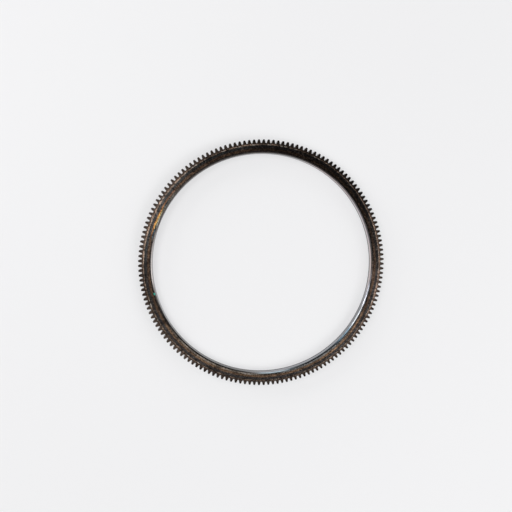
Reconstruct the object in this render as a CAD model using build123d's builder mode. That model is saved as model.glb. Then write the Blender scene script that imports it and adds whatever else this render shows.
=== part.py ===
from build123d import *
import math
import os

# Starter ring gear of an engine flywheel: one steel ring, turned to its section and
# then hobbed with straight spur teeth all round. It is heated, dropped over the
# flywheel's rim against a shoulder, and holds by its shrink fit.
#
# Millimetres. The bore's axis is Z, the back face lies on Z = 0 and the front face
# looks to +Z. One tooth is centred on +X.

# Teeth: full-depth involutes of twelve diametral pitch, with the older small pressure
# angle, which leaves them nearly square. The hob's rounded tip leaves a small round in
# each root corner, kept here as one flat, because there are so many.
teeth = 160
module = 25.4 / 12
pressure_angle = 14.5
addendum = 1.0 * module
dedendum = 1.25 * module
tooth_thinning = 0.06
root_relief = 0.5

# Turned section
width = 12.0
rim_wall = 13.6
bore_chamfer_front = 1.3
bore_chamfer_back = 0.8

# Front shoulder: the land round the bore stands proud of the tooth ends, and a cone
# runs down from it to a narrow ledge below the tooth roots
shoulder_height = 1.0
shoulder_run = 3.2
root_ledge = 0.6

# Edges of the blank broken over the tooth tips
tip_chamfer_front = 0.4
tip_chamfer_back = 0.6

# How far the hob runs past the blank on every side
hob_overrun = 1.0

pitch_radius = module * teeth / 2
base_radius = pitch_radius * math.cos(math.radians(pressure_angle))
tip_radius = pitch_radius + addendum
root_radius = pitch_radius - dedendum
bore_radius = root_radius - rim_wall
shoulder_foot_radius = root_radius - root_ledge
shoulder_crest_radius = shoulder_foot_radius - shoulder_run
tooth_width = width - shoulder_height


def involute(angle):
    """Involute function of an angle in radians."""
    return math.tan(angle) - angle


def half_space_angle(radius):
    """Half the angle, in radians, that one tooth space spans at a radius."""
    half_space_at_pitch = math.pi / (2 * teeth) + tooth_thinning / (2 * pitch_radius)
    widening = involute(math.acos(base_radius / radius))
    widening -= involute(math.radians(pressure_angle))
    return half_space_at_pitch + widening


def flank_point(radius, side):
    """Point on a tooth space's flank. The space is centred on +X, and side is 1 or -1."""
    angle = side * half_space_angle(radius)
    return (radius * math.cos(angle), radius * math.sin(angle))


# One tooth space, from the root circle out past the tip circle
cut_radius = tip_radius + hob_overrun
flank_radii = (root_radius, pitch_radius, cut_radius)
with BuildSketch() as tooth_space:
    with BuildLine():
        upper = ThreePointArc(*[flank_point(radius, 1) for radius in flank_radii])
        lower = ThreePointArc(*[flank_point(radius, -1) for radius in flank_radii])
        Line(upper @ 0, lower @ 0)
        Line(upper @ 1, lower @ 1)
    make_face()
    root_corners = tooth_space.vertices().group_by(Axis.X)[0]
    chamfer(root_corners, root_relief)

with BuildPart() as ring_gear:
    # The turned blank
    with BuildSketch(Plane.XZ):
        with BuildLine():
            Polyline(
                (bore_radius, 0),
                (tip_radius, 0),
                (tip_radius, tooth_width),
                (shoulder_foot_radius, tooth_width),
                (shoulder_crest_radius, width),
                (bore_radius, width),
                close=True,
            )
        make_face()
    revolve(axis=Axis.Z)

    rings = ring_gear.edges().filter_by(GeomType.CIRCLE).group_by(SortBy.RADIUS)
    back_bore_edge, front_bore_edge = rings[0].sort_by(Axis.Z)
    back_tip_edge, front_tip_edge = rings[-1].sort_by(Axis.Z)
    chamfer(front_bore_edge, bore_chamfer_front)
    chamfer(back_bore_edge, bore_chamfer_back)
    chamfer(back_tip_edge, tip_chamfer_back)
    chamfer(front_tip_edge, tip_chamfer_front)

    # The hobbed tooth spaces
    with BuildSketch(Plane.XY.offset(-hob_overrun)):
        with PolarLocations(0, teeth, start_angle=180 / teeth):
            add(tooth_space.sketch)
    extrude(amount=width + 2 * hob_overrun, mode=Mode.SUBTRACT)

ring_gear.part.label = "ring_gear"

os.makedirs("parts", exist_ok=True)
export_step(ring_gear.part, "parts/ring_gear.step")
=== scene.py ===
import bmesh
import bpy
import math
from mathutils import Matrix, Vector


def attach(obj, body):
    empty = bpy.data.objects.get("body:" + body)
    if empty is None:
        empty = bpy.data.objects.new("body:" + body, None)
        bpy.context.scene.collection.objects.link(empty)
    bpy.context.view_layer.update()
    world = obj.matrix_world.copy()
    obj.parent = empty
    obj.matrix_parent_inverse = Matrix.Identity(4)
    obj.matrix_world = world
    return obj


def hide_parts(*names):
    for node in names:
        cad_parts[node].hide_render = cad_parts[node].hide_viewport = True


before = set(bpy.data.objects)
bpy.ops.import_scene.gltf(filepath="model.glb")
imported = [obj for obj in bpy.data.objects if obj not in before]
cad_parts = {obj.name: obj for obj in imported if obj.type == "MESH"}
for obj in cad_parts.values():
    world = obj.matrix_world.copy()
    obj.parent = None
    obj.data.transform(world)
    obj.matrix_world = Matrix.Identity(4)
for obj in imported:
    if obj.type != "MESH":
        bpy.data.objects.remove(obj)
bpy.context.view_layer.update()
print("frame loaded")


# helpers for edit mode

def choose(piece):
    if bpy.context.mode != "OBJECT":
        bpy.ops.object.mode_set(mode="OBJECT")
    bpy.ops.object.select_all(action="DESELECT")
    if piece:
        piece.select_set(True)
        bpy.context.view_layer.objects.active = piece


def edit(piece):
    choose(piece)
    bpy.ops.object.mode_set(mode="EDIT")


def middle(part):  # of an edge or a face
    total = Vector((0, 0, 0))
    for corner in part.verts:
        total += corner.co
    return total / len(part.verts)


def turnOf(place):  # the angle from +X, either way
    return abs(math.atan2(place.y, place.x))


def pick(piece, kind, wanted):  # selects the vertices, edges or faces that wanted() says yes to
    bpy.ops.mesh.select_mode(type=kind)
    bpy.ops.mesh.select_all(action="DESELECT")
    mesh = bmesh.from_edit_mesh(piece.data)
    parts = {"VERT": mesh.verts, "EDGE": mesh.edges, "FACE": mesh.faces}[kind]
    for part in parts:
        if wanted(part):
            part.select_set(True)
    bmesh.update_edit_mesh(piece.data)


def cutAlong(place, direction, drop):  # drop takes off what lies past the plane and closes the cut
    bpy.ops.mesh.select_mode(type="FACE")
    bpy.ops.mesh.select_all(action="SELECT")
    bpy.ops.mesh.bisect(plane_co=place, plane_no=direction, use_fill=drop, clear_outer=drop, threshold=1e-7)


def applyModifiers(piece):
    choose(piece)
    for modifier in list(piece.modifiers):
        bpy.ops.object.modifier_apply(modifier=modifier.name)


# the ring: one tooth's sector is modelled, then copied round the bore

ringShape = {  # lengths in metres
    "teeth": 160,
    "module": 0.0254 / 12,
    "addendum": 1.0,  # in modules, as the next
    "dedendum": 1.25,
    "pressureAngle": math.radians(14.5),
    "thinning": 0.00006,
    "width": 0.012,
    "shoulderDrop": 0.001,
    "shoulderRun": 0.0032,
    "rootLedge": 0.0006,
    "rimWall": 0.0136,
    "boreChamferFront": 0.0013,
    "boreChamferBack": 0.0008,
    "tipChamferFront": 0.0004,
    "tipChamferBack": 0.0006,
    "rootRound": 0.00042,
    "edgeRound": 0.00014,
    "strips": 4,  # across one tooth's sector
    "flankSteps": (0.2, 0.6, 1.0),  # shares of the tooth's height where its flank is set
    "roundedAbove": math.radians(33),  # edges that turn more than this are rounded
    "smoothBelow": math.radians(28),  # and those that turn less than this are shaded smooth
    "slack": 5e-5,  # when points, edges and faces are found by how far out they lie
    "turnSlack": 1e-4,  # radians, when edges are found by their turn
    "weld": 5e-6,  # points nearer than this become one
}


def ringCircles():  # the radii that the ring is built on
    shape = ringShape
    root = shape["module"] * (shape["teeth"] / 2 - shape["dedendum"])
    foot = root - shape["rootLedge"]
    return {
        "tip": shape["module"] * (shape["teeth"] / 2 + shape["addendum"]),
        "root": root,
        "foot": foot,
        "crest": foot - shape["shoulderRun"],
        "bore": root - shape["rimWall"],
    }


def toothHalfWidth(radius):  # half the chord of an involute tooth
    pitchRadius = ringShape["module"] * ringShape["teeth"] / 2
    baseRadius = pitchRadius * math.cos(ringShape["pressureAngle"])
    atPitch = math.pi / (2 * ringShape["teeth"]) - ringShape["thinning"] / (2 * pitchRadius)
    pressure = math.acos(baseRadius / radius)
    involute = math.tan(pressure) - pressure
    involuteAtPitch = math.tan(ringShape["pressureAngle"]) - ringShape["pressureAngle"]
    return radius * math.sin(atPitch + involuteAtPitch - involute)


def makeSector():  # the blank under one tooth, turned from its section
    shape, circle = ringShape, ringCircles()
    pitch = 2 * math.pi / shape["teeth"]
    width, front = shape["width"], shape["width"] - shape["shoulderDrop"]
    choose(None)
    centre = ((circle["bore"] + circle["root"]) / 2, 0, width / 2)
    bpy.ops.mesh.primitive_plane_add(size=1, location=centre, rotation=(math.pi / 2, 0, 0))
    ring = bpy.context.object
    ring.name = "toothedRing"
    ring.scale = (circle["root"] - circle["bore"], width, 1)
    bpy.ops.object.transform_apply(location=True, rotation=True, scale=True)
    edit(ring)
    cutAlong((circle["crest"], 0, 0), (1, 0, 0), False)
    cutAlong((circle["foot"], 0, 0), (1, 0, 0), False)
    pick(ring, "VERT", lambda v: v.co.x > circle["foot"] - shape["slack"] and v.co.z > front)
    bpy.ops.transform.translate(value=(0, 0, -shape["shoulderDrop"]))
    cutAlong((circle["bore"], 0, width - shape["boreChamferFront"]), (-1, 0, 1), True)
    cutAlong((circle["bore"], 0, shape["boreChamferBack"]), (-1, 0, -1), True)
    bpy.ops.mesh.select_all(action="SELECT")
    bpy.ops.mesh.dissolve_faces()
    bpy.ops.mesh.delete(type="ONLY_FACE")
    bpy.ops.mesh.select_mode(type="EDGE")
    bpy.ops.mesh.select_all(action="SELECT")
    bpy.ops.mesh.spin(steps=shape["strips"], angle=pitch, center=(0, 0, 0), axis=(0, 0, 1))
    bpy.ops.object.mode_set(mode="OBJECT")
    turned = sum(math.atan2(v.co.y, v.co.x) for v in ring.data.vertices) / len(ring.data.vertices)
    ring.rotation_euler = (0, 0, -turned)  # the sector's middle comes to +X
    bpy.ops.object.transform_apply(location=False, rotation=True, scale=False)
    return ring


def makeRing():
    shape, circle = ringShape, ringCircles()
    pitch = 2 * math.pi / shape["teeth"]
    tip, root = circle["tip"], circle["root"]
    front = shape["width"] - shape["shoulderDrop"]
    ring = makeSector()

    # the strips beside the middle are spread to the width of the tooth's root
    edit(ring)
    toothAngle = math.asin(toothHalfWidth(root) / root)
    strip = pitch / shape["strips"]
    pick(ring, "VERT", lambda v: abs(turnOf(v.co) - strip) < strip / 5)
    wider = math.tan(toothAngle) / math.tan(strip)
    bpy.ops.transform.resize(value=(1, wider, 1), center_override=(0, 0, 0))

    # the tooth is drawn out of the rim in steps, each narrowed to the involute
    pick(ring, "FACE", lambda f: middle(f).xy.length > root - shape["slack"]
         and turnOf(middle(f)) < toothAngle)
    radius = root
    for share in shape["flankSteps"]:
        further = root + (tip - root) * share
        bpy.ops.mesh.extrude_region_move(TRANSFORM_OT_translate={"value": (further - radius, 0, 0)})
        narrower = toothHalfWidth(further) / toothHalfWidth(radius)
        bpy.ops.transform.resize(value=(1, narrower, 1), center_override=(0, 0, 0))
        radius = further
    pick(ring, "EDGE", lambda e: abs(e.verts[0].co.z - e.verts[1].co.z) > front / 2
         and abs(middle(e).xy.length - root) < shape["slack"]
         and abs(turnOf(middle(e)) - toothAngle) < shape["turnSlack"])
    bpy.ops.mesh.bevel(offset=shape["rootRound"], segments=3, affect="EDGES")
    cutAlong((tip, 0, front - shape["tipChamferFront"]), (1, 0, 1), True)
    cutAlong((tip, 0, shape["tipChamferBack"]), (1, 0, -1), True)

    # copies all round, welded into one closed ring
    bpy.ops.mesh.select_all(action="SELECT")
    bpy.ops.mesh.spin(steps=shape["teeth"] - 1, dupli=True, angle=2 * math.pi - pitch,
                      center=(0, 0, 0), axis=(0, 0, 1))
    bpy.ops.mesh.select_all(action="SELECT")
    bpy.ops.mesh.remove_doubles(threshold=shape["weld"])
    bpy.ops.mesh.normals_make_consistent(inside=False)
    bpy.ops.object.mode_set(mode="OBJECT")
    print("ring sectors welded", len(ring.data.polygons), "faces")

    soften = ring.modifiers.new("edgeRound", "BEVEL")
    soften.width = shape["edgeRound"]
    soften.segments = 2
    soften.limit_method = "ANGLE"
    soften.angle_limit = shape["roundedAbove"]
    soften.use_clamp_overlap = False
    applyModifiers(ring)
    bpy.ops.object.shade_smooth_by_angle(angle=shape["smoothBelow"])
    level = ring.modifiers.new("levelNormals", "WEIGHTED_NORMAL")  # flat faces stay flat to the light
    level.keep_sharp = True
    applyModifiers(ring)
    print("ring edges rounded", sum(len(p.vertices) - 2 for p in ring.data.polygons), "triangles")
    return ring


ring = makeRing()


# helpers for nodes

perMetre = 1000  # millimetres


def feed(tree, node, values):  # each value is a socket to link or a plain value
    for name, value in values.items():
        if isinstance(value, bpy.types.NodeSocket):
            tree.links.new(value, node.inputs[name])
        else:
            node.inputs[name].default_value = value


def addNode(tree, kind, label="", settings=None, values=None):
    node = tree.nodes.new(kind)
    node.label = label
    for name, value in (settings or {}).items():
        setattr(node, name, value)
    feed(tree, node, values or {})
    return node


def addMath(tree, operation, first, second=0.0):
    node = addNode(tree, "ShaderNodeMath", "", {"operation": operation}, {0: first, 1: second})
    return node.outputs["Value"]


def multiply(tree, *factors):
    product = factors[0]
    for factor in factors[1:]:
        product = addMath(tree, "MULTIPLY", product, factor)
    return product


def addVector(tree, operation, values, label=""):
    return addNode(tree, "ShaderNodeVectorMath", label, {"operation": operation}, values).outputs


def mapValue(tree, socket, fromRange, toRange=(0, 1), smooth=False):
    kind = "SMOOTHSTEP" if smooth else "LINEAR"
    node = addNode(tree, "ShaderNodeMapRange", "", {"interpolation_type": kind}, {
        "Value": socket, "From Min": fromRange[0], "From Max": fromRange[1],
        "To Min": toRange[0], "To Max": toRange[1]})
    return node.outputs["Result"]


def mixColour(tree, share, first, second, kind="MIX"):  # sockets or plain colours
    first, second = (c if isinstance(c, bpy.types.NodeSocket) else (*c, 1) for c in (first, second))
    node = addNode(tree, "ShaderNodeMix", "", {"data_type": "RGBA", "blend_type": kind},
                   {0: share, 6: first, 7: second})  # by number, because the names repeat
    return node.outputs[2]


def near(tree, socket, wanted, half, fade):  # 1 within half of a value, fading to 0
    away = addMath(tree, "ABSOLUTE", addMath(tree, "SUBTRACT", socket, wanted))
    return mapValue(tree, away, (half + fade, half))


def addRamp(tree, socket, stops, label):  # stops are values of the socket, each with its colour
    ramp = addNode(tree, "ShaderNodeValToRGB", label)
    first, last = stops[0][0], stops[-1][0]
    ramp.color_ramp.elements[0].color = (*stops[0][1], 1)
    ramp.color_ramp.elements[1].color = (*stops[-1][1], 1)
    for value, colour in stops[1:-1]:
        ramp.color_ramp.elements.new((value - first) / (last - first)).color = (*colour, 1)
    feed(tree, ramp, {"Fac": mapValue(tree, socket, (first, last))})
    return ramp.outputs["Color"]


def bump(tree, height, strength, distance):
    return addNode(tree, "ShaderNodeBump", "", None, {
        "Height": height, "Strength": strength, "Distance": distance}).outputs["Normal"]


# node groups that the finishes share

def newGroup(name, inputs, outputs):
    group = bpy.data.node_groups.new(name, "ShaderNodeTree")
    for socket, value in inputs.items():
        made = group.interface.new_socket(socket, in_out="INPUT", socket_type="NodeSocketFloat")
        made.default_value = value
    for socket in outputs:
        group.interface.new_socket(socket, in_out="OUTPUT", socket_type="NodeSocketFloat")
    given = group.nodes.new("NodeGroupInput")
    return group, given.outputs, group.nodes.new("NodeGroupOutput")


def useGroup(tree, group, values=None):
    return addNode(tree, "ShaderNodeGroup", group.name, {"node_tree": group}, values).outputs


def flatPlace(tree, scale):  # the point's place with its height dropped
    place = addNode(tree, "ShaderNodeTexCoord").outputs["Object"]
    return addVector(tree, "MULTIPLY", {0: place, 1: (scale, scale, 0)}, "drop height")["Vector"]


def direction(tree):  # from the bore's axis to the point, one long
    return addVector(tree, "NORMALIZE", {0: flatPlace(tree, 1)}, "direction")["Vector"]


def makeRadiusGroup():  # how far a point lies from the bore's axis, and how high, in millimetres
    group, _, result = newGroup("ringRadius", {}, ["Radius", "Height"])
    place = addNode(group, "ShaderNodeTexCoord").outputs["Object"]
    split = addNode(group, "ShaderNodeSeparateXYZ", "", None, {"Vector": place})
    feed(group, result, {
        "Radius": addVector(group, "LENGTH", {0: flatPlace(group, perMetre)}, "radius")["Value"],
        "Height": multiply(group, split.outputs["Z"], perMetre)})
    return group


def makeMarksGroup():  # noise drawn out round the axis, as a lathe leaves it
    group, given, result = newGroup("turningMarks", {
        "Along": 20.0,  # features in a radian
        "Across": 2.0,  # features in a millimetre
        "Detail": 3.0,
    }, ["Marks"])
    along = addVector(group, "SCALE", {0: direction(group), "Scale": given["Along"]}, "along")
    place = useGroup(group, radiusGroup)
    across = multiply(group, addMath(group, "ADD", place["Radius"], place["Height"]), given["Across"])
    lift = addNode(group, "ShaderNodeCombineXYZ", "across", None, {"Z": across})
    both = addVector(group, "ADD", {0: along["Vector"], 1: lift.outputs["Vector"]})
    noise = addNode(group, "ShaderNodeTexNoise", "", None, {
        "Vector": both["Vector"], "Scale": 1.0, "Detail": given["Detail"], "Roughness": 0.6})
    feed(group, result, {"Marks": noise.outputs["Fac"]})
    return group


def makePatchGroup():  # blotches and specks: a noise cut off at a share of its range
    group, given, result = newGroup("patches", {
        "Size": 3.0,  # millimetres
        "Cut": 0.55,
        "Soft": 0.1,
    }, ["Mask"])
    place = addNode(group, "ShaderNodeTexCoord").outputs["Object"]
    noise = addNode(group, "ShaderNodeTexNoise", "", None, {
        "Vector": place, "Scale": addMath(group, "DIVIDE", perMetre, given["Size"]),
        "Detail": 4.0, "Roughness": 0.6})
    end = addMath(group, "ADD", given["Cut"], given["Soft"])
    feed(group, result, {"Mask": mapValue(group, noise.outputs["Fac"], (given["Cut"], end), smooth=True)})
    return group


def makeSideGroup():  # a stretch of the ring round a bearing in degrees, fading at both ends
    group, given, result = newGroup("stretchOfRing", {
        "Bearing": 90.0,
        "Half": 10.0,
        "Fade": 10.0,
    }, ["Mask"])
    angle = addMath(group, "RADIANS", given["Bearing"])
    wanted = addNode(group, "ShaderNodeCombineXYZ", "bearing", None, {
        "X": addMath(group, "COSINE", angle), "Y": addMath(group, "SINE", angle)})
    dot = addVector(group, "DOT_PRODUCT", {0: direction(group), 1: wanted.outputs["Vector"]})
    clamp = addNode(group, "ShaderNodeClamp", "", None, {"Value": dot["Value"], "Min": -1.0, "Max": 1.0})
    away = addMath(group, "DEGREES", addMath(group, "ARCCOSINE", clamp.outputs["Result"]))
    end = addMath(group, "ADD", given["Half"], given["Fade"])
    feed(group, result, {"Mask": mapValue(group, away, (end, given["Half"]), smooth=True)})
    return group


radiusGroup = makeRadiusGroup()
marksGroup = makeMarksGroup()
patchGroup = makePatchGroup()
sideGroup = makeSideGroup()


def stretch(tree, bearing, half, fade):
    return useGroup(tree, sideGroup, {"Bearing": bearing, "Half": half, "Fade": fade})["Mask"]


def marks(tree, along, across, detail):
    return useGroup(tree, marksGroup, {"Along": along, "Across": across, "Detail": detail})["Marks"]


def patches(tree, size, cut, soft):
    return useGroup(tree, patchGroup, {"Size": size, "Cut": cut, "Soft": soft})["Mask"]


# what the finishes have in common

common = {
    "marksSpan": (0.3, 0.7),  # where nearly all values of the turning marks lie
    "acrossTurning": 0.25,  # of a turn: the light spreads across the turning marks
    "frontBegins": (3, 9),  # millimetres above the back between which the front's tints come in
    "tintInStreaks": (0.36, 0.56),  # values of the streaks between which a tint comes to its full share
    "tintLeast": 0.45,  # of its share, where the streaks break it
}

paintDab = {  # bearing in degrees, lengths in millimetres
    "bearing": 194.4,
    "radius": 154.9,
    "solid": (0.15, 0.3),  # half of the solid middle, in degrees along and in millimetres across
    "long": 2.2,
    "wide": 1.3,
    "edgeMarks": (320.0, 1.5, 2.0),
    "raggedBy": (-0.2, 0.2),  # what the marks add to its mask
    "edge": (0.3, 0.45),  # values of the mask from which the paint begins and covers fully
    "colour": (0.012, 0.33, 0.25),
}


def newFinish(name):
    finish = bpy.data.materials.new(name)
    finish.use_nodes = True
    return finish, finish.node_tree, finish.node_tree.nodes["Principled BSDF"]


def onFront(tree, height):  # 1 on the front face, fading down the bore to 0 before the back
    return mapValue(tree, height, common["frontBegins"])


def addTints(tree, colour, radius, height, streaks, tints):  # tints that lie on one stretch of one ring
    front = onFront(tree, height)
    for bearing, half, fade, middleRadius, width, soft, tone, share in tints:
        across = near(tree, radius, middleRadius, width / 2, soft)
        mask = multiply(tree, stretch(tree, bearing, half, fade), across, front)
        broken = mapValue(tree, streaks, common["tintInStreaks"], (share * common["tintLeast"], share))
        colour = mixColour(tree, multiply(tree, mask, broken), colour, tone)
    return colour


def dabMask(tree, radius, height):  # a spot of green paint at the mouth of the bore
    solidAlong, solidAcross = paintDab["solid"]
    long = math.degrees(paintDab["long"] / paintDab["radius"])
    along = stretch(tree, paintDab["bearing"], solidAlong, long)
    across = near(tree, radius, paintDab["radius"], solidAcross, paintDab["wide"])
    uneven = mapValue(tree, marks(tree, *paintDab["edgeMarks"]), common["marksSpan"], paintDab["raggedBy"])
    ragged = addMath(tree, "ADD", multiply(tree, along, across), uneven)
    return multiply(tree, mapValue(tree, ragged, paintDab["edge"]), onFront(tree, height))


# front and back faces: heat tint in rings from the hardening of the teeth, with painted shade at the upper
# right and on the lower cone, and a painted highlight on the gold patch

faceFinish = {
    "rings": (  # millimetres from the axis, colour
        (154.6, (0.060, 0.056, 0.050)),
        (155.8, (0.055, 0.050, 0.045)),
        (156.6, (0.170, 0.104, 0.067)),
        (158.9, (0.165, 0.098, 0.062)),
        (159.9, (0.070, 0.063, 0.060)),
        (162.7, (0.060, 0.058, 0.059)),
        (163.5, (0.130, 0.098, 0.075)),
        (163.9, (0.500, 0.365, 0.280)),
        (164.7, (0.480, 0.340, 0.255)),
        (165.2, (0.150, 0.095, 0.068)),
        (166.2, (0.078, 0.050, 0.036)),
    ),
    "waves": (9.0, 0.12, 4.0),  # marks have features in a radian, features in a millimetre and detail
    "waveDepth": (-0.4, 0.4),  # millimetres that the rings wander
    "streaks": (30.0, 1.6, 4.0),
    "tints": (  # bearing, half and fade in degrees; radius, width and fade in millimetres; colour, share
        (50, 36, 24, 158.3, 8.2, 0.6, (0.018, 0.013, 0.011), 0.85),  # painted shade: nearly black, upper right
        (20, 25, 14, 155.2, 1.4, 0.6, (0.010, 0.008, 0.007), 0.95),  # black beside the bore
        (200, 10, 9, 155.0, 1.6, 0.6, (0.014, 0.011, 0.010), 0.9),
        (243, 18, 15, 155.4, 1.5, 0.8, (0.53, 0.445, 0.36), 1.0),  # lighter beside the bore
        (299, 16, 10, 155.4, 2.0, 0.5, (0.33, 0.32, 0.31), 0.95),
        (332, 17, 6, 154.7, 0.6, 0.3, (0.015, 0.015, 0.016), 0.95),  # black edge of the mouth
        (356.5, 3, 4, 155.0, 1.2, 0.5, (0.24, 0.155, 0.125), 0.85),
        (25, 62, 22, 163.1, 1.0, 0.4, (0.045, 0.043, 0.045), 0.85),  # the tan cone starts further out
        (153, 10, 8, 155.5, 1.4, 0.6, (0.22, 0.20, 0.165), 0.75),  # grey inside the gold
        (272, 52, 22, 158.2, 1.3, 1.0, (0.36, 0.23, 0.14), 0.75),  # warmer brown, lower half
        (268, 58, 16, 164.6, 3.0, 0.5, (0.075, 0.056, 0.044), 0.9),  # painted shade on the cone, lower half
        (150, 20, 15, 166.0, 1.4, 0.4, (0.052, 0.036, 0.028), 0.8),  # dark outside the cone
        (152, 13, 7, 163.5, 0.8, 0.35, (0.44, 0.33, 0.265), 0.6),
        (141, 22, 12, 164.7, 0.6, 0.4, (0.14, 0.10, 0.08), 0.55),
        (155, 4, 5, 160.7, 1.4, 0.5, (0.15, 0.136, 0.132), 0.8),
        (343, 2.5, 3, 156.5, 2.0, 0.5, (0.020, 0.016, 0.014), 0.75),  # blot
        (354.3, 1.0, 1.5, 156.4, 0.8, 0.5, (0.30, 0.21, 0.16), 0.7),  # rubbed spot
        (358.2, 1.5, 2, 156.6, 1.4, 0.5, (0.022, 0.013, 0.010), 0.8),  # blot
        (351, 4, 6, 164.3, 2.6, 0.5, (0.46, 0.32, 0.25), 0.75),  # the cone brighter, then duller
        (335, 8, 8, 165.4, 1.8, 0.4, (0.13, 0.09, 0.07), 0.4),
        (8, 7, 6, 164.9, 1.8, 0.4, (0.13, 0.085, 0.06), 0.55),
        (84, 6, 6, 164.9, 1.8, 0.4, (0.09, 0.07, 0.055), 0.45),
        (110, 4, 6, 164.6, 1.4, 0.4, (0.40, 0.29, 0.22), 0.5),
        (330, 10, 8, 159.4, 0.9, 0.5, (0.070, 0.048, 0.036), 0.5),
        (157, 6, 6, 164.0, 1.0, 0.6, (0.40, 0.26, 0.18), 0.5),
        (140, 30, 15, 161.6, 2.2, 0.5, (0.052, 0.064, 0.066), 0.7),  # bluer grey ring
        (153, 12, 8, 156.9, 0.9, 0.4, (0.095, 0.095, 0.082), 0.8),
        (151, 9, 9, 158.6, 0.5, 0.4, (0.33, 0.145, 0.080), 0.8),  # the gold patch, from its red rim inwards: temper colours brightened into a painted highlight
        (156.5, 2, 8, 158.2, 1.0, 0.6, (0.82, 0.35, 0.12), 0.95),
        (157, 2.5, 4, 157.7, 1.2, 0.5, (1.00, 0.54, 0.15), 1.0),
        (156, 3, 5, 156.6, 0.5, 0.6, (0.52, 0.45, 0.20), 0.9),
        (157, 2.0, 3, 155.5, 0.6, 0.6, (0.52, 0.50, 0.44), 0.9),
        (163, 1.6, 3, 156.2, 0.5, 0.7, (0.02, 0.12, 0.20), 0.95),  # blue at its lower end
        (148, 1.2, 2, 156.0, 0.5, 0.7, (0.03, 0.10, 0.14), 0.8),  # teal at its upper end
        (142.4, 1.0, 2, 157.5, 0.5, 0.6, (0.45, 0.26, 0.20), 0.8),
    ),
    "scale": (0.012, 0.010, 0.010),
    "scaleInStreaks": ((0.40, 0.62), (0, 0.7)),  # from these values of the streaks to these shares
    "scalePatches": (14.0, 0.50, 0.12),  # patches have a size in millimetres, a cut and a softness
    "scaleShare": (0.55, 0.05),  # in most places, and on the gold
    "gold": (157, 3, 3),  # bearing, half and fade in degrees
    "flecks": (2.0, 0.50, 0.10),
    "fleckMarks": (40.0, 0.9, 2.0),
    "fleckShare": ((0.42, 0.6), (0, 0.8)),
    "dust": (0.20, 0.15, 0.12),
    "dustPatches": (2.6, 0.52, 0.16),
    "dustShare": 0.3,
    "gritMarks": (75.0, 0.6, 4.0),
    "grit": ((0.38, 0.62), (0.45, 1.65)),  # how much darker and lighter it makes the steel
    "cone": (164.3, 0.9, 0.5),  # radius, half width and fade in millimetres
    "coneGrit": 0.35,
    "conePatches": (1.8, 0.44, 0.12),
    # near white: bare metal in the nicks with a painted glint
    "nickAndGlint": (0.95, 0.88, 0.80),
    "nicksAndGlints": (  # bearing and half length in degrees, and strength, of the bright nicks in the cone, each with a painted glint
        (5.5, 0.3, 0.5), (42.3, 0.6, 0.8), (62.4, 0.4, 0.9), (64.6, 0.3, 0.9), (74.8, 0.3, 0.8),
        (79.5, 0.5, 1.0), (81.6, 0.3, 0.9), (87.6, 0.4, 0.9), (94.9, 0.4, 1.0), (101.6, 0.4, 1.0),
        (103.4, 0.2, 0.8), (109.9, 0.5, 1.0), (119.3, 0.2, 0.7), (124.4, 0.5, 0.8), (126.2, 0.3, 0.7),
        (130.8, 0.4, 0.7), (146.4, 0.2, 0.6), (158.0, 0.6, 0.45), (196.5, 0.3, 0.8), (199.3, 0.6, 1.0),
        (206.8, 0.3, 0.8), (230.0, 0.3, 0.8), (236.0, 0.3, 0.7), (247.0, 0.2, 0.6), (276.0, 0.3, 0.6),
        (291.0, 0.2, 0.5), (341.0, 0.2, 0.5), (357.0, 0.4, 0.6),
    ),
    "nickFade": 0.45,  # degrees
    "nickLine": (164.1, 0.15, 0.5),  # as the cone
    "nickPatches": (1.6, 0.42, 0.16),
    "nickRagged": (-0.45, 0.1),  # what the patches add to a nick's strength
    "nickEdge": (0.1, 1.0),  # strengths from which it begins to show and shows fully
    "scuff": (0.52, 0.49, 0.46),
    "scuffStretch": (261.5, 2.2, 0.6),
    "scuffLine": (155.4, 0.9, 0.6),
    "scuffMarks": (260.0, 0.2, 1.0),
    "scuffShare": ((0.48, 0.56), (0, 0.8)),
    "rough": (0.34, 0.48),
    "drawnOut": 0.8,
    "bumpMarks": (14.0, 3.0, 3.0),
    "bump": (0.4, 0.0001),  # strength, depth in metres
}


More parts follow.
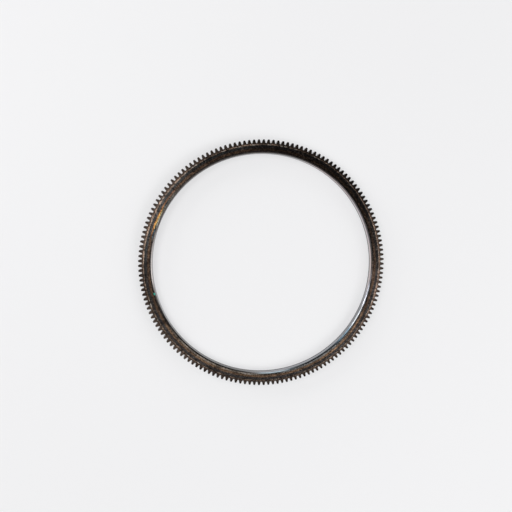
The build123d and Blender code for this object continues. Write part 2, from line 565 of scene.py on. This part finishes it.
def makeFaceFinish():
    look = faceFinish
    finish, tree, shader = newFinish("heatTintedFaceAndPaintedLight")
    place = useGroup(tree, radiusGroup)
    radius, height = place["Radius"], place["Height"]
    waves = mapValue(tree, marks(tree, *look["waves"]), common["marksSpan"], look["waveDepth"])
    wavy = addMath(tree, "ADD", radius, waves)
    streaks = marks(tree, *look["streaks"])
    colour = addRamp(tree, wavy, look["rings"], "heat tint")
    colour = addTints(tree, colour, wavy, height, streaks, look["tints"])

    # black scale in streaks, thicker in some stretches, and brown dust in the rest
    colour = mixColour(tree, mapValue(tree, streaks, *look["scaleInStreaks"]), colour, look["scale"])
    scaled = mapValue(tree, stretch(tree, *look["gold"]), (0, 1), look["scaleShare"])
    thick = multiply(tree, patches(tree, *look["scalePatches"]), scaled)
    colour = mixColour(tree, thick, colour, look["scale"])
    fleckShare = mapValue(tree, marks(tree, *look["fleckMarks"]), *look["fleckShare"])
    flecks = multiply(tree, patches(tree, *look["flecks"]), fleckShare)
    colour = mixColour(tree, flecks, colour, look["scale"])
    paintedSheen = multiply(tree, patches(tree, *look["dustPatches"]), look["dustShare"])
    colour = mixColour(tree, paintedSheen, colour, look["dust"])

    # grit, coarser on the cone
    grit = mapValue(tree, marks(tree, *look["gritMarks"]), *look["grit"])
    cone = multiply(tree, near(tree, radius, *look["cone"]), look["coneGrit"])
    coarse = mapValue(tree, patches(tree, *look["conePatches"]), (0, 1), (-1, 1))
    grit = addMath(tree, "ADD", grit, multiply(tree, coarse, cone))
    colour = mixColour(tree, 1.0, colour, grit, "MULTIPLY")

    # bright nicks in the cone below the teeth, each with a painted glint, and scuffs by the bore
    front = onFront(tree, height)
    nicksAndGlints = 0.0
    for bearing, half, strength in look["nicksAndGlints"]:
        nickAndGlint = multiply(tree, stretch(tree, bearing, half, look["nickFade"]), strength)
        nicksAndGlints = addMath(tree, "MAXIMUM", nickAndGlint, nicksAndGlints)
    nicksAndGlints = multiply(tree, nicksAndGlints, near(tree, radius, *look["nickLine"]), front)
    uneven = mapValue(tree, patches(tree, *look["nickPatches"]), (0, 1), look["nickRagged"])
    nicksAndGlints = mapValue(tree, addMath(tree, "ADD", nicksAndGlints, uneven), look["nickEdge"])
    colour = mixColour(tree, nicksAndGlints, colour, look["nickAndGlint"])
    scuffMarks = mapValue(tree, marks(tree, *look["scuffMarks"]), *look["scuffShare"])
    scuffs = multiply(tree, stretch(tree, *look["scuffStretch"]), near(tree, radius, *look["scuffLine"]),
                      scuffMarks, front)
    colour = mixColour(tree, scuffs, colour, look["scuff"])

    dab = dabMask(tree, radius, height)
    feed(tree, shader, {
        "Base Color": mixColour(tree, dab, colour, paintDab["colour"]),
        "Metallic": mapValue(tree, dab, (0, 1), (1, 0)),
        "Roughness": mapValue(tree, streaks, common["marksSpan"], look["rough"]),
        "Anisotropic": look["drawnOut"],
        "Anisotropic Rotation": common["acrossTurning"],
        "Normal": bump(tree, marks(tree, *look["bumpMarks"]), *look["bump"])})
    return finish


# teeth: hardened, dark brown and dull, with painted sheen and painted shade in stretches round the ring

toothFinish = {
    "fromRoot": (  # millimetres from the axis, colour
        (166.1, (0.072, 0.051, 0.040)),
        (167.6, (0.062, 0.044, 0.035)),
        (169.6, (0.034, 0.024, 0.020)),
        (171.4, (0.016, 0.012, 0.010)),
    ),
    "dark": (0.016, 0.012, 0.010),
    "darkPatches": (2.4, 0.42, 0.25),
    "darkShare": 0.55,
    "rust": (0.16, 0.075, 0.038),
    "rustSpecks": (0.9, 0.60, 0.08),
    "rustShare": 0.4,
    "flank": (0.020, 0.014, 0.012),  # oily flanks and broken edges
    "flankFade": 0.12,  # millimetres below the front ends of the teeth
    # a lighter tone, used only as painted sheen in stretches
    "paintedSheen": (0.13, 0.102, 0.086),
    "stretches": (  # colour, bearing, half and fade in degrees, share: painted sheen where the teeth catch the light, painted shade at the upper right and the bottom
        ("dark", 74, 40, 20, 0.55),
        ("dark", 46, 10, 14, 0.85),
        ("dark", 265, 24, 14, 0.4),
        ("paintedSheen", 140, 28, 16, 0.3),
        ("paintedSheen", 216, 12, 10, 0.35),
        ("paintedSheen", 356, 9, 9, 0.25),
    ),
    "rough": (0.42, 0.58),
    "metallic": 0.92,
    "shine": 0.3,
    "bump": (0.25, 0.0001),
}


def makeToothFinish():
    look = toothFinish
    finish, tree, shader = newFinish("hardenedTeethAndPaintedLight")
    place = useGroup(tree, radiusGroup)
    colour = addRamp(tree, place["Radius"], look["fromRoot"], "root to tip")
    blotch = patches(tree, *look["darkPatches"])
    colour = mixColour(tree, multiply(tree, blotch, look["darkShare"]), colour, look["dark"])
    speck = patches(tree, *look["rustSpecks"])
    colour = mixColour(tree, multiply(tree, speck, look["rustShare"]), colour, look["rust"])
    frontEnd = (ringShape["width"] - ringShape["shoulderDrop"]) * perMetre
    below = mapValue(tree, place["Height"], (frontEnd, frontEnd - look["flankFade"]))
    colour = mixColour(tree, below, colour, look["flank"])
    # painted sheen and painted shade in stretches round the ring
    for kind, bearing, half, fade, share in look["stretches"]:
        mask = multiply(tree, stretch(tree, bearing, half, fade), share)
        colour = mixColour(tree, mask, colour, look[kind])
    feed(tree, shader, {
        "Base Color": colour,
        "Metallic": look["metallic"],
        "Roughness": mapValue(tree, blotch, (0, 1), look["rough"]),
        "Specular IOR Level": look["shine"],
        "Normal": bump(tree, blotch, *look["bump"])})
    return finish


# bore: bare turned steel, with painted reflections as light streaks on the wall

boreFinish = {
    "steel": (0.41, 0.41, 0.42),
    "stain": (0.22, 0.21, 0.205),
    "lines": (8.0, 4.0, 3.0),
    "stainInLines": (0, 0.4),
    "stainPatches": (9.0, 0.5, 0.2),
    "stainShare": 0.35,
    "duller": (268, 38, 25),  # bearing, half and fade in degrees
    "dullerShare": 0.6,
    "tints": (  # as on the face
        (0, 6, 10, 153.1, 1, 1, (0.60, 0.45, 0.38), 0.9),
        (27, 12, 10, 153.1, 1, 1, (0.46, 0.42, 0.46), 0.8),
        (52, 10, 10, 153.1, 1, 1, (0.50, 0.37, 0.36), 0.9),
        (108, 22, 16, 153.1, 1, 1, (0.14, 0.136, 0.132), 0.9),
        (152, 12, 8, 153.1, 1, 1, (0.14, 0.130, 0.126), 0.9),
        (238, 20, 10, 153.1, 1, 1, (0.118, 0.117, 0.116), 1.0),
        (300, 14, 6, 153.1, 1, 1, (0.125, 0.138, 0.155), 1.0),
        (330, 12, 5, 153.1, 1, 1, (0.17, 0.185, 0.20), 0.9),
        (343, 5, 6, 153.1, 1, 1, (0.41, 0.41, 0.455), 0.9),
    ),
    "bands": (  # bearing, half and fade in degrees; height, half and fade in millimetres; colour, share
        (0, 180, 1, 1.9, 1.1, 0.8, (0.050, 0.050, 0.055), 0.9),  # dark line low on the wall, all round
        # painted reflection: a light streak along the wall
        (295, 20, 12, 6.0, 1.6, 1.2, (0.460, 0.470, 0.500), 0.8),
        (332, 12, 8, 6.0, 2.5, 1.5, (0.270, 0.275, 0.290), 0.8),
        # painted reflection: a pale streak along the wall
        (9, 20, 10, 6.5, 1.5, 1.5, (0.720, 0.640, 0.640), 0.7),
    ),
    "rough": (0.22, 0.38),
    "drawnOut": 0.6,
    "bump": (0.35, 0.00008),
}


def makeBoreFinish():
    look = boreFinish
    finish, tree, shader = newFinish("turnedBoreAndPaintedReflections")
    lines = marks(tree, *look["lines"])
    stained = mapValue(tree, lines, common["marksSpan"], look["stainInLines"])
    colour = mixColour(tree, stained, look["steel"], look["stain"])
    stain = multiply(tree, patches(tree, *look["stainPatches"]), look["stainShare"])
    colour = mixColour(tree, stain, colour, look["stain"])
    duller = multiply(tree, stretch(tree, *look["duller"]), look["dullerShare"])
    colour = mixColour(tree, duller, colour, look["stain"])
    place = useGroup(tree, radiusGroup)
    colour = addTints(tree, colour, place["Radius"], place["Height"], lines, look["tints"])
    for bearing, half, fade, height, halfHeight, soft, tone, share in look["bands"]:
        band = multiply(tree, near(tree, place["Height"], height, halfHeight, soft), share)
        colour = mixColour(tree, multiply(tree, band, stretch(tree, bearing, half, fade)), colour, tone)
    feed(tree, shader, {
        "Base Color": colour,
        "Metallic": 1.0,
        "Roughness": mapValue(tree, lines, common["marksSpan"], look["rough"]),
        "Anisotropic": look["drawnOut"],
        "Anisotropic Rotation": common["acrossTurning"],
        "Normal": bump(tree, lines, *look["bump"])})
    return finish


# mouth of the bore: its chamfer, tinted by heat from black to blue, with painted highlights of pale blue
# and bright steel

mouthFinish = {
    "steel": (0.115, 0.105, 0.101),
    "stain": (0.058, 0.050, 0.045),
    "lines": (12.0, 3.0, 3.0),
    "stainInLines": ((0.35, 0.65), (0, 0.6)),
    "tints": (  # as on the face
        (28, 14, 14, 153.7, 1.6, 0.3, (0.225, 0.21, 0.215), 0.9),
        # painted highlight on the left of the chamfer
        (176, 9, 9, 153.7, 1.6, 0.3, (0.34, 0.315, 0.305), 0.9),
        (228, 28, 12, 153.7, 1.6, 0.3, (0.018, 0.016, 0.015), 1.0),  # black
        (235, 15, 9, 153.9, 1.4, 0.3, (0.004, 0.004, 0.003), 1.0),
        (277, 7, 7, 153.7, 1.6, 0.3, (0.15, 0.190, 0.215), 0.95),  # painted highlight, pale blue
        (299, 13, 8, 153.7, 1.6, 0.3, (0.020, 0.025, 0.030), 1.0),  # blue-black
        (305, 10, 8, 154.2, 0.5, 0.3, (0.010, 0.020, 0.028), 1.0),
        (320, 4, 6, 153.7, 1.6, 0.3, (0.068, 0.114, 0.150), 1.0),  # painted highlight, blue, then bright steel
        (330, 3.5, 4.5, 153.7, 1.6, 0.3, (0.265, 0.280, 0.300), 0.95),
        (348, 4, 7, 153.7, 1.6, 0.3, (0.300, 0.295, 0.330), 0.9),
        (343.3, 3.3, 4.5, 153.7, 1.6, 0.3, (0.800, 0.820, 0.920), 0.95),
        (334, 14, 5, 154.3, 0.45, 0.2, (0.050, 0.050, 0.055), 0.95),  # dark outer edge
    ),
    "rough": (0.24, 0.38),
    "drawnOut": 0.6,
    "bump": (0.35, 0.00008),
}


def makeMouthFinish():
    look = mouthFinish
    finish, tree, shader = newFinish("tintedMouthAndPaintedHighlights")
    place = useGroup(tree, radiusGroup)
    radius, height = place["Radius"], place["Height"]
    lines = marks(tree, *look["lines"])
    stained = mapValue(tree, lines, *look["stainInLines"])
    colour = mixColour(tree, stained, look["steel"], look["stain"])
    colour = addTints(tree, colour, radius, height, lines, look["tints"])
    dab = dabMask(tree, radius, height)
    feed(tree, shader, {
        "Base Color": mixColour(tree, dab, colour, paintDab["colour"]),
        "Metallic": mapValue(tree, dab, (0, 1), (1, 0)),
        "Roughness": mapValue(tree, lines, common["marksSpan"], look["rough"]),
        "Anisotropic": look["drawnOut"],
        "Anisotropic Rotation": common["acrossTurning"],
        "Normal": bump(tree, lines, *look["bump"])})
    return finish


def finishRing():  # each face gets its finish by its place
    finishes = {
        "face": makeFaceFinish(),
        "teeth": makeToothFinish(),
        "bore": makeBoreFinish(),
        "mouth": makeMouthFinish(),
    }
    for finish in finishes.values():
        ring.data.materials.append(finish)
    slots = list(finishes)
    circle = ringCircles()
    faceStart = circle["bore"] + ringShape["boreChamferFront"]
    backStart = circle["bore"] + ringShape["boreChamferBack"]
    mouthStart = ringShape["width"] - ringShape["boreChamferFront"]
    for face in ring.data.polygons:
        radius, height = face.center.xy.length, face.center.z
        kind = "face"
        if radius > circle["foot"]:
            kind = "teeth"
        elif radius < faceStart and height > mouthStart:
            kind = "mouth"
        elif radius < backStart or height > ringShape["boreChamferBack"] and radius < faceStart:
            kind = "bore"
        face.material_index = slots.index(kind)


finishRing()
print("finishes made")

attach(ring, "root")
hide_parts("ring_gear")


# floor, lights and camera

studio = {
    "floor": (0.89, 0.89, 0.90),
    "floorSize": 6,  # metres
    "floorDrop": 0.0002,  # a hair low, or it and the back face fight
    "floorRough": 0.7,
    "floorShine": 0.2,
    "evenness": (0.6, 1.0),  # how far the floor shows as an evenly lit backdrop, near the ring and far off
    "reach": (0.35, 0.90),  # metres from the ring's middle between which that changes
    "world": 0.02,
    "horizon": (0.42, 0.12),  # sine of the heights down which the steel comes to see the backdrop
    "away": 2.0,  # metres from the ring's middle to each lamp
    "lamps": (  # name, bearing and height in degrees, width and height of the box, watts
        ("upperLeftBox", 158, 51, (1.5, 0.9), 16.5),
        ("lowLeftBox", 150, 12, (0.82, 0.82), 20.0),
        ("lowFarBox", 90, 12, (0.82, 0.82), 13.0),
        ("rightBox", 0, 25, (0.82, 1.1), 13.5),
        ("lowerRightBox", 327, 42, (0.9, 1.0), 9.3),
        ("lowerBox", 294, 40, (0.9, 0.9), 6.0),
        ("nearBox", 246, 61, (0.9, 0.9), 6.4),
    ),
}


def mixShader(tree, share, first, second):
    return addNode(tree, "ShaderNodeMixShader", "", None, {0: share, 1: first, 2: second}).outputs["Shader"]


def makeFloorFinish():  # keeps the ring's shadow, and is clear from below
    finish, tree, shader = newFinish("paleFloor")
    pale = (*studio["floor"], 1)
    feed(tree, shader, {
        "Base Color": pale, "Roughness": studio["floorRough"], "Specular IOR Level": studio["floorShine"]})
    path = addNode(tree, "ShaderNodeLightPath")
    seen = addMath(tree, "MAXIMUM", path.outputs["Is Camera Ray"], path.outputs["Is Glossy Ray"])
    place = addNode(tree, "ShaderNodeTexCoord").outputs["Object"]
    away = addVector(tree, "LENGTH", {0: place}, "from the ring's middle")["Value"]
    even = mapValue(tree, away, studio["reach"], studio["evenness"])
    glow = addNode(tree, "ShaderNodeEmission", "evenly lit", None, {"Color": pale, "Strength": 1.0})
    front = mixShader(tree, multiply(tree, seen, even), shader.outputs["BSDF"], glow.outputs["Emission"])
    side = addNode(tree, "ShaderNodeNewGeometry").outputs["Backfacing"]
    clear = addNode(tree, "ShaderNodeBsdfTransparent").outputs["BSDF"]
    feed(tree, tree.nodes["Material Output"], {"Surface": mixShader(tree, side, front, clear)})
    return finish


def makeFloor():
    choose(None)
    bpy.ops.mesh.primitive_plane_add(size=studio["floorSize"], location=(0, 0, -studio["floorDrop"]))
    bpy.ops.object.transform_apply(location=True, rotation=False, scale=False)
    floor = bpy.context.object
    floor.name = "floor"
    floor.data.materials.append(makeFloorFinish())
    return floor


def makeLamps():
    for name, bearing, height, size, watts in studio["lamps"]:
        turn, rise = math.radians(bearing), math.radians(height)
        place = Vector((math.cos(turn) * math.cos(rise), math.sin(turn) * math.cos(rise), math.sin(rise)))
        bpy.ops.object.light_add(type="AREA", location=place * studio["away"])
        lamp = bpy.context.object
        lamp.name = name
        lamp.data.shape = "RECTANGLE"
        lamp.data.size, lamp.data.size_y = size
        lamp.data.energy = watts
        lamp.rotation_euler = (-place).to_track_quat("-Z", "Y").to_euler()


def makeWorld():  # the camera sees the backdrop all round, the steel only as far up as it would stand
    world = bpy.data.worlds.new("studio")
    world.use_nodes = True
    tree = world.node_tree
    dim = tree.nodes["Background"]
    feed(tree, dim, {"Color": (studio["world"],) * 3 + (1,)})
    pale = addNode(tree, "ShaderNodeBackground", "backdrop", None, {"Color": (*studio["floor"], 1)})
    sky = addNode(tree, "ShaderNodeTexCoord").outputs["Generated"]
    split = addNode(tree, "ShaderNodeSeparateXYZ", "", None, {"Vector": sky})
    low = mapValue(tree, split.outputs["Z"], studio["horizon"])
    path = addNode(tree, "ShaderNodeLightPath")
    mirrored = multiply(tree, path.outputs["Is Glossy Ray"], low)
    seen = addMath(tree, "MAXIMUM", path.outputs["Is Camera Ray"], mirrored)
    both = mixShader(tree, seen, dim.outputs["Background"], pale.outputs["Background"])
    feed(tree, tree.nodes["World Output"], {"Surface": both})
    bpy.context.scene.world = world


floor = makeFloor()
makeLamps()
makeWorld()
print("floor and lights set")

cameraSet = {
    "place": (-0.07448, 0.06866, 0.67815),
    "turn": math.radians(5.44),  # about the upright
    "tilt": math.radians(4.80),
    "focal": 486.0,  # pixels of the frame's width
    "frameWidth": 512,
    "sensor": 36,  # millimetres
}


def makeCamera():
    turned = Matrix.Rotation(cameraSet["tilt"], 4, "X") @ Matrix.Rotation(cameraSet["turn"], 4, "Y")
    bpy.ops.object.camera_add()
    camera = bpy.context.object
    camera.matrix_world = Matrix.Translation(cameraSet["place"]) @ turned.transposed()
    camera.data.sensor_width = cameraSet["sensor"]
    camera.data.lens = cameraSet["focal"] * cameraSet["sensor"] / cameraSet["frameWidth"]
    camera.data.clip_start = 0.01
    bpy.context.scene.camera = camera


makeCamera()
bpy.context.scene.view_settings.view_transform = "Standard"
print("camera set")
